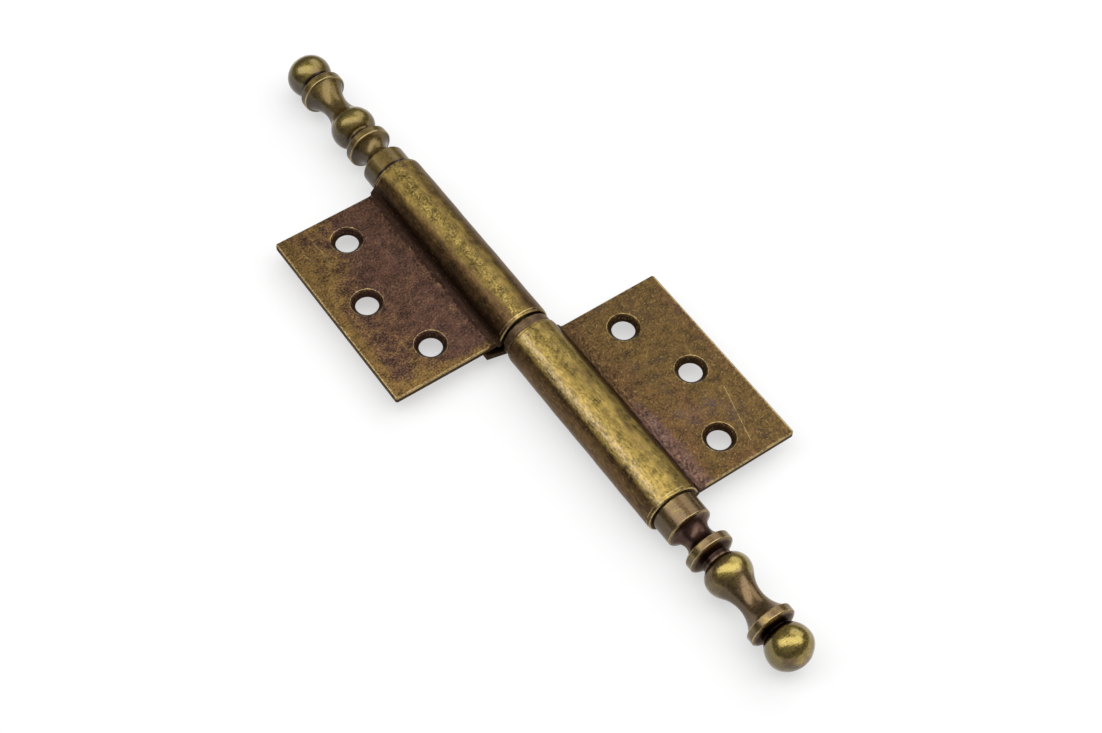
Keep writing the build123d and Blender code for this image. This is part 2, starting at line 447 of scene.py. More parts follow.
    # Painted shade on the knuckle's flanks, where its normal points less upward
    steep = normal_z + flank_shade_lean * across / leaf_half
    flank_shade = (1 - smooth_step(flank_shade_low, flank_shade_high, steep)) * smooth_step(bend_middle, roll_starts, s)
    roll_angle = np.degrees(bend_meets + (s - roll_starts) / roll_arc)
    # A worn crest with a painted highlight, at the angle where the knuckle's highlight falls
    ridge_wear_and_highlight = bump_at(roll_angle + 2.5 * np.sin(across * 0.2), ridge_highlight_angle, ridge_highlight_width)
    # A strip of painted shade along the knuckle, added to the flanks' painted shade
    shade_strip = shade_strip_share * bump_at(roll_angle + 3 * np.sin(across * 0.27 + 1), shade_strip_angle, shade_strip_width)
    flank_shade = np.maximum(flank_shade, shade_strip)
    masks = {"edge": edge, "shade_and_grime": shade_and_grime, "olive": olive, "roll": roll, "flank_shade": flank_shade, "ridge_wear_and_highlight": ridge_wear_and_highlight}

    shapes = [(points.reshape(-1, 3), [faces[kept], tip_faces, tail_faces], masks)]
    for hole_x, hole_y in ((row_reach, -row_half_spacing), (middle_reach, 0), (row_reach, row_half_spacing)):
        shapes.append(hole_shape(hole_x, -knuckle_middle - hole_y, olive_share))
    return gathered(shapes)


def hole_shape(x, y, olive_share):
    """Points, faces and masks of one countersunk hole and the square of sheet round it.

    A loop of points runs round the square. Between it and the rim's circle the points are blended, on the
    front and on the back. From rim to rim they follow the section: rounded rim, cone, cylinder and rounded
    back edge.
    """
    side = np.arange(block_steps) / block_steps * 2 * block_half - block_half
    whole = np.full(block_steps, block_half)
    square_x = np.concatenate([whole, -side, -whole, side])
    square_y = np.concatenate([side, whole, -side, -whole])
    square = np.stack([square_x, square_y])
    angle = np.arctan2(square[1], square[0])
    circle = np.stack([np.cos(angle), np.sin(angle)])

    rim_turn = np.linspace(math.pi / 2, 0.75 * math.pi, 6)
    rim_flat = countersink_radius + rim_round * math.tan(math.pi / 8)
    rim_r = rim_flat + rim_round * np.cos(rim_turn)
    rim_z = rim_round * (np.sin(rim_turn) - 1)
    cone_depth = countersink_radius - hole_radius
    back_turn = np.linspace(0, math.pi / 2, 4)
    back_r = hole_radius + hole_back_round * (1 - np.cos(back_turn))
    back_z = hole_back_round * (1 - np.sin(back_turn)) - sheet
    cone_mix = np.linspace(0, 1, 7)[1:]
    cone_r = rim_r[-1] + (hole_radius - rim_r[-1]) * cone_mix
    cone_z = rim_z[-1] + (-cone_depth - rim_z[-1]) * cone_mix
    wall_r = np.concatenate([rim_r, cone_r, back_r])
    wall_z = np.concatenate([rim_z, cone_z, back_z])

    blend = np.array([1, 0.72, 0.48, 0.3, 0.18, 0.1, 0.045])
    front_xy = wall_r[0] * circle + blend[:, None, None] * (square - wall_r[0] * circle)
    back_xy = wall_r[-1] * circle + blend[::-1, None, None] * (square - wall_r[-1] * circle)
    wall_xy = wall_r[:, None, None] * circle
    flat_xy = np.concatenate([front_xy, wall_xy, back_xy])
    flat_z = np.concatenate([0 * blend, wall_z, 0 * blend - sheet])
    rows, _, columns = flat_xy.shape
    points = side_by_side(x + flat_xy[:, 0], y + flat_xy[:, 1], flat_z[:, None] + 0 * flat_xy[:, 0])
    faces = grid_faces(rows, columns)[..., ::-1]

    radius = np.hypot(flat_xy[:, 0], flat_xy[:, 1])
    front = flat_z[:, None] > -0.5 * sheet
    edge = np.where(front, 0.62 * bump_at(radius, countersink_radius + 0.03, 0.13), 0)
    # Painted shade down the countersink's cone, and a little on the back
    shade_and_grime = smooth_step(0.12, 0.5, -flat_z)[:, None] + 0 * radius
    shade_and_grime = np.where(flat_z[:, None] < 0.02 - sheet, 0.25, shade_and_grime)
    olive = olive_share(points[..., 0], -knuckle_middle - points[..., 1])
    masks = {"edge": edge, "shade_and_grime": shade_and_grime, "olive": olive}
    masks.update({name: 0 * radius for name in ("roll", "flank_shade", "ridge_wear_and_highlight")})
    return points.reshape(-1, 3), [faces], masks


def upper_olive(reach, along):
    """Olive share of the upper leaf: it grows with the reach, and bands run along outer edge and joint."""
    outer_band = 0.75 * smooth_step(leaf_reach - 3.2, leaf_reach - 1, reach)
    joint_band = 0.75 * smooth_step(-20.8, -22.8, along)
    return np.clip(0.6 * smooth_step(13, 26, reach) + np.maximum(outer_band, joint_band), 0, 1)


def lower_olive(reach, along):
    """Olive share of the lower leaf: all but a purple strip along half of the bend and a round cloud."""
    strip = smooth_step(11.8, 8.2, reach) * smooth_step(-6, 4, along)
    cloud = 0.45 * np.exp(-((reach - 17) ** 2 + (along - 9.4) ** 2) / 4.5**2)
    return np.clip(1 - strip - cloud, 0, 1)


def gathered(shapes):
    """One set of points, faces and masks from several."""
    starts = np.cumsum([0] + [len(shape[0]) for shape in shapes])
    points = np.concatenate([shape[0] for shape in shapes])
    faces = [face.reshape(-1, 4) + start for shape, start in zip(shapes, starts) for face in shape[1]]
    names = shapes[0][2]
    masks = {name: np.concatenate([shape[2][name].ravel() for shape in shapes]) for name in names}
    return points, faces, masks


def arc(centre_r, centre_y, radius, start, stop, count=60):
    """Points on a circle's arc, as radius from the axis and distance along it, with angles in degrees."""
    angle = np.radians(np.linspace(start, stop, count))
    return side_by_side(centre_r + radius * np.cos(angle), centre_y + radius * np.sin(angle))


def rim_section(place):
    """Flat rim with broken edges and a bevel beyond it."""
    start = place - rim_width / 2
    stop = place + rim_width / 2
    return np.array([
        (rim_radius - rim_edge_break, start - rim_edge_break),
        (rim_radius, start),
        (rim_radius, stop),
        (rim_radius - rim_edge_break, stop + rim_edge_break),
        (pinch_radius, stop + rim_bevel_length),
    ])


def finial_section():
    """Turned profile from the stem's end to the ball's tip, as radius and distance out from the knuckle."""
    cove_start = collar_length + cove_edge_land
    cove_end = lower_rim_place - rim_width / 2 - cove_edge_land
    cove_edge = collar_radius - cove_edge_land
    cove_half = (cove_end - cove_start) / 2
    cove_drop = cove_edge - cove_radius_at_neck
    cove_round = (cove_half**2 + cove_drop**2) / (2 * cove_drop)
    cove_angle = math.degrees(math.asin(cove_half / cove_round))
    bulb_back = math.sqrt(bulb_back_round**2 - (pinch_radius - bulb_radius + bulb_back_round) ** 2)
    bulb_back_angle = math.degrees(math.asin(bulb_back / bulb_back_round))
    waist_rise = bulb_radius - waist_radius
    waist_run = waist_place - bulb_place
    waist_round = (waist_run**2 + waist_rise**2) / (2 * waist_rise) - bulb_front_round
    turn = math.degrees(math.atan2(waist_run, waist_radius + waist_round - bulb_radius + bulb_front_round))
    flare_end = upper_rim_place - rim_width / 2 - rim_edge_break
    flare = math.degrees(math.asin((flare_end - waist_place) / waist_round))
    ball_angle = math.degrees(math.asin(pinch_radius / ball_radius))
    front_centre = ball_radius - ball_front_round
    front_sum = front_centre**2 + ball_front_length**2 - ball_front_round**2
    tip_round = front_sum / (2 * (ball_front_length - ball_front_round))
    tip_back = tip_round - ball_front_length
    ball_turn = math.degrees(math.atan2(tip_back, front_centre))
    neck_y = (cove_start + cove_end) / 2
    return np.concatenate([
        np.array([
            (0, -stem_length),
            (bore_radius - stem_chamfer, -stem_length),
            (bore_radius, stem_chamfer - stem_length),
            (bore_radius, 0),
            (collar_radius, 0),
            (collar_radius, collar_length),
        ]),
        arc(cove_radius_at_neck + cove_round, neck_y, cove_round, 180 + cove_angle, 180 - cove_angle),
        rim_section(lower_rim_place),
        arc(bulb_radius - bulb_back_round, bulb_place, bulb_back_round, -bulb_back_angle, 0),
        arc(bulb_radius - bulb_front_round, bulb_place, bulb_front_round, 0, turn)[1:],
        arc(waist_radius + waist_round, waist_place, waist_round, 180 + turn, 180 - flare)[1:],
        rim_section(upper_rim_place),
        arc(0, ball_place, ball_radius, ball_angle - 90, 0),
        arc(front_centre, ball_place, ball_front_round, 0, ball_turn)[1:],
        arc(0, ball_place - tip_back, tip_round, ball_turn, 90)[1:],
    ])


def softened(section, softness, count):
    """The profile with its corners rounded by a moving average, and its points closest where it turns most.

    The profile is walked in even steps, averaged along the walk under a bell curve of the given softness,
    with both ends held, and then read at so many places spread by one plus a multiple of the turning.
    """
    reach = 15
    walked = np.concatenate([[0], np.cumsum(np.hypot(*np.diff(section, axis=0).T))])
    step = softness / 5
    fine = np.linspace(0, walked[-1], int(walked[-1] / step))
    even = np.stack([np.interp(fine, walked, section[:, k]) for k in (0, 1)], axis=-1)
    bell = bump_at(np.arange(-reach, reach + 1) * step, 0, softness)
    before = 2 * even[0] - even[reach:0:-1]
    beyond = 2 * even[-1] - even[-2:-reach - 2:-1]
    padded = np.concatenate([before, even, beyond])
    bell = bell / bell.sum()
    smooth = np.stack([np.convolve(padded[:, k], bell, mode="valid") for k in (0, 1)], axis=-1)
    heading = np.unwrap(np.arctan2(*np.gradient(smooth, axis=0).T))
    turning = np.gradient(heading) / step
    density = np.cumsum(1 + 1.2 * np.abs(turning))
    picks = np.interp(np.linspace(density[0], density[-1], count), density, np.arange(len(fine)))
    columns = (smooth[:, 0], smooth[:, 1], turning)
    r, y, turning = (np.interp(picks, np.arange(len(fine)), column) for column in columns)
    return side_by_side(r, y), turning


def turned_shape(section, masks, round_steps, closed=False):
    """Surface of revolution about Y: a grid of the profile's points by angles round the axis.

    A point is (r cos a, y, r sin a). Where the profile ends on the axis, a fan of triangles closes it. The
    mask under, which sets painted shade on the underside, grows from the upper side to the lower one, by a
    smooth step of sin a.
    """
    angle = np.linspace(0, 2 * math.pi, round_steps, endpoint=False)
    body = section if closed else section[1:-1]
    r, y = body[:, :1], body[:, 1:]
    points = side_by_side(r * np.cos(angle), y + 0 * angle, r * np.sin(angle))
    rows = len(body)
    faces = [grid_faces(rows, round_steps)]
    values = {name: np.repeat(mask if closed else mask[1:-1], round_steps) for name, mask in masks.items()}
    values["under"] = np.tile(smooth_step(0.9, 0.25, np.sin(angle)), rows)
    points = points.reshape(-1, 3)
    first = np.arange(round_steps)
    last = first + (rows - 1) * round_steps
    if closed:
        faces.append(side_by_side(last, first, np.roll(first, -1), np.roll(last, -1)))
        return points, faces, values
    poles = np.array([(0, section[0, 1], 0), (0, section[-1, 1], 0)])
    faces.append(side_by_side(first * 0 + len(points), first, np.roll(first, -1)))
    faces.append(side_by_side(last * 0 + len(points) + 1, np.roll(last, -1), last))
    pole_masks = {name: mask[[0, -1]] for name, mask in masks.items()}
    pole_masks["under"] = [0.5, 0.5]
    values = {name: np.append(value, pole_masks[name]) for name, value in values.items()}
    return np.concatenate([points, poles]), faces, values


def finial_shape(collar_shadow_reach):
    """The finial's turned surface, with fine tool lines cut round its two rims and its collar.

    The lines take a cosine off each rim's radius and two sines off the collar's. The edge mask follows the
    outward turning of the profile and the rims' lines. The swell mask is a bell curve on the bulb and one on
    the ball, with a little on the rims. The shade_and_grime mask, for patina and painted shade, is 0.75 in
    the cove, and 1 for painted shade in the pinch behind each rim and for a painted shadow on the collar up
    to collar_shadow_reach from the knuckle.
    """
    section, turning = softened(finial_section(), turned_softness, 420)
    r, out = section.T
    cove_stop = lower_rim_place - rim_width / 2
    # Patina and painted shade in the cove
    past_collar = smooth_step(collar_length, collar_length + 0.6, out)
    shade_and_grime = 0.75 * past_collar * smooth_step(cove_stop, cove_stop - 0.6, out)
    rim_lines = 0
    rims = 0
    for place in (lower_rim_place, upper_rim_place):
        on_rim = smooth_step(rim_width / 2, rim_width / 2 - 0.2, np.abs(out - place)) * (r > rim_radius - 0.2)
        rims = rims + on_rim
        rim_lines = rim_lines + on_rim * np.cos((out - place) * 2 * math.pi / rim_line_pitch)
        # Painted shade in the pinch behind each rim
        past = out - place - rim_width / 2
        shade_and_grime = shade_and_grime + smooth_step(0.1, 0.6, past) * smooth_step(pinch_shade_reach + 0.8, pinch_shade_reach, past)
    # Painted shadow on the collar next to the knuckle
    shade_and_grime = np.maximum(shade_and_grime, smooth_step(collar_shadow_reach, collar_shadow_reach - 0.3, out))
    on_collar = (r > collar_radius - 0.1) * (out < collar_length - 0.4)
    collar_lines = (np.sin(out * 9.1) + np.sin(out * 14.3 + 1)) * on_collar
    r = r - rim_line_depth * rim_lines - collar_line_depth * collar_lines
    r[[0, -1]] = 0
    edge = np.clip(-turning / 5, 0, 1) + 0.3 * np.clip(rim_lines, 0, 1)
    swell = np.maximum(bump_at(out, bulb_place + 0.6, 2.6), bump_at(out, ball_place, 4)) + 0.25 * rims
    section = side_by_side(r, out + knuckle_end)
    masks = {"edge": np.clip(edge, 0, 1), "shade_and_grime": shade_and_grime, "swell": swell}
    return turned_shape(section, masks, 144)


def washer_shape():
    """Ring with rounded outer edges, as a closed section turned about the pin."""
    low, high = washer_low[1], washer_high[1] - washer_top_gap
    quarter = np.linspace(0, math.pi / 2, 6)
    outer_r = washer_radius - washer_edge_round * (1 - np.sin(quarter))
    outer_y = washer_edge_round * (1 - np.cos(quarter))
    face_r = np.linspace(bore_radius, washer_radius - washer_land, 4)
    side_y = np.linspace(low + washer_land, high - washer_land, 5)
    section = np.concatenate([
        side_by_side(face_r, np.full(4, low)),
        side_by_side(outer_r, low + outer_y),
        side_by_side(np.full(5, washer_radius), side_y),
        side_by_side(outer_r[::-1], high - outer_y[::-1]),
        side_by_side(face_r[::-1], np.full(4, high)),
        side_by_side(np.full(3, bore_radius), np.linspace(high, low, 5)[1:-1]),
    ])
    edge = 0.8 * bump_at(section[:, 1], high - 0.15, 0.2) * (section[:, 0] > washer_radius - 0.3)
    # Painted shade on the washer's faces, hidden between the knuckles, and less on its rim
    shade_and_grime = np.where(section[:, 0] < washer_radius - 0.4, 0.9, 0.35)
    return turned_shape(section, {"edge": edge, "shade_and_grime": shade_and_grime}, 128, closed=True)


def pin_shape():
    """Pin with a thicker pressed half, a fine shoulder and a chamfered free end."""
    shoulder = washer_low[1]
    running_radius = bore_radius - running_clearance
    section, turning = softened(np.array([
        (0, pin_low[1]),
        (bore_radius - stem_chamfer, pin_low[1]),
        (bore_radius, pin_low[1] + stem_chamfer),
        (bore_radius, shoulder),
        (running_radius, shoulder),
        (running_radius, pin_high[1] - pin_end_chamfer),
        (running_radius - pin_end_chamfer, pin_high[1]),
        (0, pin_high[1]),
    ]), pin_softness, 160)
    section[[0, -1], 0] = 0
    edge = np.clip(-turning / 5, 0, 1)
    return turned_shape(section, {"edge": edge, "shade_and_grime": 0 * edge}, 96)


def put(tree, kind, inputs=None, **settings):
    """Adds a node, sets its properties, and sets or links its inputs by name or number."""
    node = tree.nodes.new("ShaderNode" + kind)
    for key, value in settings.items():
        setattr(node, key, value)
    for key, value in (inputs or {}).items():
        if isinstance(value, bpy.types.NodeSocket):
            tree.links.new(value, node.inputs[key])
        else:
            node.inputs[key].default_value = value
    return node


def calc(tree, operation, *values):
    """Result of a Math node."""
    return put(tree, "Math", dict(enumerate(values)), operation=operation).outputs[0]


def times(tree, first, second):
    """Product of two values."""
    return calc(tree, "MULTIPLY", first, second)


def times_plus(tree, value, factor, offset):
    """A value times a factor, plus an offset."""
    return calc(tree, "MULTIPLY_ADD", value, factor, offset)


def vector_calc(tree, operation, first, second):
    """Result of a Vector Math node: a number for dot products and distances, or else a vector."""
    output = "Value" if operation in ("DOT_PRODUCT", "DISTANCE") else "Vector"
    return put(tree, "VectorMath", {0: first, 1: second}, operation=operation).outputs[output]


def mixed(tree, share, first, second):
    """Colour between the first, at share 0, and the second, at share 1."""
    return put(tree, "Mix", {0: share, 6: first, 7: second}, data_type="RGBA").outputs[2]


def between(tree, value, low, high, to_low=0.0, to_high=1.0):
    """Smooth step of a value from low to high, as a range from to_low to to_high."""
    inputs = {"Value": value, "From Min": low, "From Max": high, "To Min": to_low, "To Max": to_high}
    return put(tree, "MapRange", inputs, interpolation_type="SMOOTHSTEP").outputs["Result"]


def new_group(name, inputs, outputs):
    """Empty node group with named float or vector inputs and float outputs."""
    group = bpy.data.node_groups.new(name, "ShaderNodeTree")
    for socket, default in inputs.items():
        kind = "NodeSocketFloat" if isinstance(default, float) else "NodeSocketVector"
        group.interface.new_socket(socket, in_out="INPUT", socket_type=kind).default_value = default
    for socket in outputs:
        group.interface.new_socket(socket, in_out="OUTPUT", socket_type="NodeSocketFloat")
    entry = group.nodes.new("NodeGroupInput").outputs
    leave = group.nodes.new("NodeGroupOutput").inputs
    return group, entry, leave


def patina_field_group():
    """Blotches, clouds, grain and pits of an aged surface, from 0 to 1, at sizes given in millimetres."""
    sizes = {"Blotch mm": 9.0, "Cloud mm": 2.4, "Grain mm": 0.6, "Pit mm": 0.9}
    places = {"Shift": (0, 0, 0), "Stretch": (1, 1, 1)}
    group, entry, leave = new_group("patina_field", {**places, **sizes}, ("Blotch", "Cloud", "Grain", "Pit"))
    place = put(group, "TexCoord").outputs["Object"]
    place = vector_calc(group, "MULTIPLY", place, entry["Stretch"])
    place = vector_calc(group, "ADD", place, entry["Shift"])
    fields = (("Blotch", 4.0, 0.25, 0.75), ("Cloud", 5.0, 0.25, 0.75), ("Grain", 2.0, 0.34, 0.66))
    for output, detail, low, high in fields:
        scale = calc(group, "DIVIDE", 1 / MM, entry[output + " mm"])
        noise = put(group, "TexNoise", {"Vector": place, "Scale": scale, "Detail": detail, "Roughness": 0.6})
        group.links.new(between(group, noise.outputs["Fac"], low, high), leave[output])
    pit_scale = calc(group, "DIVIDE", 1 / MM, entry["Pit mm"])
    cells = put(group, "TexVoronoi", {"Vector": place, "Scale": pit_scale})
    near = between(group, cells.outputs["Distance"], 0.14, 0.3, 1.0, 0.0)
    draw = put(group, "SeparateColor", {0: cells.outputs["Color"]}).outputs[0]
    chosen = between(group, draw, 0.55, 0.75)
    group.links.new(times(group, near, chosen), leave["Pit"])
    return group


def worn_edge_group():
    """Edge wear: the edge mask broken up by clouds and grain, from 0 to 1."""
    inputs = {"Edge": 0.0, "Cloud": 0.5, "Grain": 0.5, "Reach": 0.5}
    group, entry, leave = new_group("worn_edge", inputs, ("Wear",))
    rough = times_plus(group, entry["Cloud"], 0.7, times(group, entry["Grain"], 0.5))
    worn = times(group, entry["Edge"], calc(group, "ADD", rough, entry["Reach"]))
    group.links.new(between(group, worn, 0.2, 0.85), leave["Wear"])
    return group


def scratch_group():
    """Scratch: 1 on the straight line between two points of the leaf's face, fading to 0 at its width."""
    inputs = {"From": (0, 0, 0), "To": (0, 0, 0), "Width mm": 0.1, "Grain": 0.5}
    group, entry, leave = new_group("scratch", inputs, ("Scratch",))
    place = put(group, "TexCoord").outputs["Object"]
    reach = vector_calc(group, "SUBTRACT", place, entry["From"])
    line = vector_calc(group, "SUBTRACT", entry["To"], entry["From"])
    along = vector_calc(group, "DOT_PRODUCT", reach, line)
    length = vector_calc(group, "DOT_PRODUCT", line, line)
    share = put(group, "Clamp", {"Value": calc(group, "DIVIDE", along, length)}).outputs[0]
    foot = put(group, "VectorMath", {0: line, "Scale": share}, operation="SCALE").outputs[0]
    away = vector_calc(group, "DISTANCE", reach, foot)
    width = times(group, entry["Width mm"], MM)
    line_mask = between(group, calc(group, "DIVIDE", away, width), 0.3, 1.0, 1.0, 0.0)
    broken = between(group, entry["Grain"], 0.1, 0.5)
    group.links.new(times(group, line_mask, broken), leave["Scratch"])
    return group


def tool_lines_group():
    """Fine lines left by turning: noise that changes only along the pin, from 0 to 1."""
    group, entry, leave = new_group("tool_lines", {"Pitch mm": 0.2}, ("Line",))
    parts = put(group, "SeparateXYZ", {0: put(group, "TexCoord").outputs["Object"]})
    place = put(group, "CombineXYZ", {"Y": parts.outputs["Y"]}).outputs[0]
    scale = calc(group, "DIVIDE", 1 / MM, entry["Pitch mm"])
    noise = put(group, "TexNoise", {"Vector": place, "Scale": scale, "Detail": 3.0, "Roughness": 0.6})
    group.links.new(between(group, noise.outputs["Fac"], 0.3, 0.7), leave["Line"])
    return group


groups = {
    "patina": patina_field_group(),
    "wear": worn_edge_group(),
    "scratch": scratch_group(),
    "lines": tool_lines_group(),
}


def use(tree, group, inputs):
    """Places a shared node group in a material, with its own values, and gives its outputs."""
    return put(tree, "Group", inputs, node_tree=groups[group]).outputs


def mask(tree, name):
    """A mask of the piece's own points."""
    return put(tree, "Attribute", attribute_name=name).outputs["Fac"]


def new_material(name):
    """Empty material, with its node tree and its shader."""
    material = bpy.data.materials.new(name)
    material.use_nodes = True
    return material, material.node_tree, material.node_tree.nodes["Principled BSDF"]


def scaled(tree, colour, factor):
    """Colour made lighter or darker by a factor."""
    return put(tree, "VectorMath", {0: colour, "Scale": factor}, operation="SCALE").outputs[0]


def swayed(tree, value, *sways):
    """A mask pushed up and down by fields from 0 to 1, each with its own strength, and clipped softly."""
    for field, strength in sways:
        value = calc(tree, "ADD", value, times_plus(tree, field, strength, -strength / 2))
    return between(tree, value, 0.15, 0.85)


def finish_metal(tree, shader, colour, roughness, height, bump_mm, coat, coat_roughness, shade_and_grime_share=None):
    """Links colour, roughness and a bump of the given depth to a metal shader with a film that patina and
    painted shade hide.
    """
    shader.inputs["Metallic"].default_value = 1.0
    shader.inputs["Coat Weight"].default_value = coat
    if shade_and_grime_share:
        tree.links.new(times_plus(tree, shade_and_grime_share, -0.9 * coat, coat), shader.inputs["Coat Weight"])
    shader.inputs["Coat Roughness"].default_value = coat_roughness
    shader.inputs["Specular Tint"].default_value = grazing_tint
    tree.links.new(colour, shader.inputs["Base Color"])
    tree.links.new(roughness, shader.inputs["Roughness"])
    bump = put(tree, "Bump", {"Height": height, "Strength": 1.0, "Distance": bump_mm * MM})
    tree.links.new(bump.outputs[0], shader.inputs["Normal"])


# Colours of the brass, its patina, the painted shade on it, and the steel
bare_brass = (0.48, 0.36, 0.16, 1)
# Dark patina in pits, and painted shade in creases, pinches, recesses and on hidden faces
dark_shade_and_grime = (0.024, 0.012, 0.008, 1)
# Patina and painted shade in the finials' coves
cove_shade_and_grime = (0.056, 0.026, 0.022, 1)
# Painted shade on the knuckle's flanks and in a strip along it
knuckle_flank_shade_colour = (0.09, 0.047, 0.014, 1)
leaf_rust = (0.125, 0.06, 0.024, 1)
# Painted shade on the finials' undersides
underside_shade_colour = (0.045, 0.035, 0.026, 1)
washer_dark = (0.09, 0.05, 0.028, 1)
washer_light = (0.21, 0.133, 0.06, 1)
steel_dark = (0.42, 0.41, 0.4, 1)
steel_light = (0.6, 0.59, 0.57, 1)
old_grease = (0.2, 0.14, 0.08, 1)
grazing_tint = (0.75, 0.68, 0.6, 1)


def sheet_brass(
    name, shift, leaf_purple, leaf_olive, rust_share, knuckle_olive, knuckle_ridge_wear_and_highlight, painted_glint_share, scratches
):
    """Patinated sheet: a purple-brown leaf that turns olive, a yellower knuckle and worn edges.

    The leaf goes from purple to olive by its mask, and then a share of the way to rust in blotches. The
    knuckle goes from olive to brown as painted shade on its flanks and in a strip, and to a paler yellow,
    part wear and part painted highlight, along its worn crest. Clouds and grain vary the tone of both, and
    the grain runs along the knuckle. Patina and painted shade in the bend and recesses, pits, specks of
    painted glint, bare edges and scratches lie on top.
    """
    material, tree, shader = new_material(name)
    field = use(tree, "patina", {"Shift": shift, "Grain mm": 0.45})
    streak = use(tree, "patina", {"Shift": shift, "Stretch": (1, 0.3, 1), "Grain mm": 0.4, "Cloud mm": 1.4})
    edge, shade_and_grime, olive = (mask(tree, key) for key in ("edge", "shade_and_grime", "olive"))
    roll, flank_shade, ridge_wear_and_highlight = (mask(tree, key) for key in ("roll", "flank_shade", "ridge_wear_and_highlight"))
    cloud, grain, blotch = field["Cloud"], field["Grain"], field["Blotch"]
    worn = use(tree, "wear", {"Edge": edge, "Cloud": cloud, "Grain": grain, "Reach": 0.35})["Wear"]

    turned = swayed(tree, olive, (blotch, 0.6), (cloud, 0.4), (grain, 0.3))
    leaf = mixed(tree, turned, leaf_purple, leaf_olive)
    rusted = times(tree, between(tree, streak["Blotch"], 0.4, 0.75), rust_share)
    leaf = mixed(tree, rusted, leaf, leaf_rust)
    # Brown painted shade on the knuckle's flanks and strip
    browned = swayed(tree, flank_shade, (blotch, 0.5), (streak["Cloud"], 0.35), (streak["Grain"], 0.25))
    barrel = mixed(tree, browned, knuckle_olive, knuckle_flank_shade_colour)
    # Paler yellow along the worn crest: part wear and part painted highlight
    ridge_rubbed_and_lit = swayed(tree, times(tree, ridge_wear_and_highlight, 0.6), (streak["Cloud"], 0.3), (grain, 0.7))
    barrel = mixed(tree, times(tree, ridge_rubbed_and_lit, ridge_wear_and_highlight), barrel, knuckle_ridge_wear_and_highlight)
    colour = mixed(tree, roll, leaf, barrel)
    drawn = times_plus(tree, roll, calc(tree, "SUBTRACT", streak["Grain"], grain), grain)
    tone = times_plus(tree, cloud, 0.8, times_plus(tree, drawn, 0.6, 0.32))
    colour = scaled(tree, colour, tone)
    # Patina and painted shade in the bend and recesses, by the shade_and_grime mask
    shade_and_grime_share = times(tree, shade_and_grime, times_plus(tree, cloud, 0.25, 0.7))
    colour = mixed(tree, shade_and_grime_share, colour, dark_shade_and_grime)
    colour = mixed(tree, times(tree, field["Pit"], 0.18), colour, dark_shade_and_grime)
    # Painted glints: bright specks in bare brass colour, spread by the grain
    painted_glint = between(tree, times(tree, grain, streak["Grain"]), 0.6, 0.95)
    colour = mixed(tree, times(tree, painted_glint, painted_glint_share), colour, bare_brass)
    colour = mixed(tree, times(tree, worn, 0.85), colour, bare_brass)
    for start, stop, width in scratches:
        inputs = {"From": start, "To": stop, "Width mm": width, "Grain": cloud}
        scratch = use(tree, "scratch", inputs)["Scratch"]
        colour = mixed(tree, times(tree, scratch, 0.45), colour, bare_brass)

    roughness = times_plus(tree, grain, 0.12, times_plus(tree, cloud, 0.1, 0.24))
    roughness = times_plus(tree, worn, -0.08, roughness)
    roughness = times_plus(tree, shade_and_grime_share, 0.25, roughness)
    lumps = times(tree, grain, times_plus(tree, roll, -0.35, 0.6))
    lumps = times_plus(tree, cloud, 0.6, lumps)
    height = times_plus(tree, streak["Grain"], 0.3, lumps)
    height = calc(tree, "SUBTRACT", height, field["Pit"])
    finish_metal(
        tree, shader, colour, roughness, height, bump_mm=0.04, coat=0.25, coat_roughness=0.3, shade_and_grime_share=shade_and_grime_share
    )
    return material


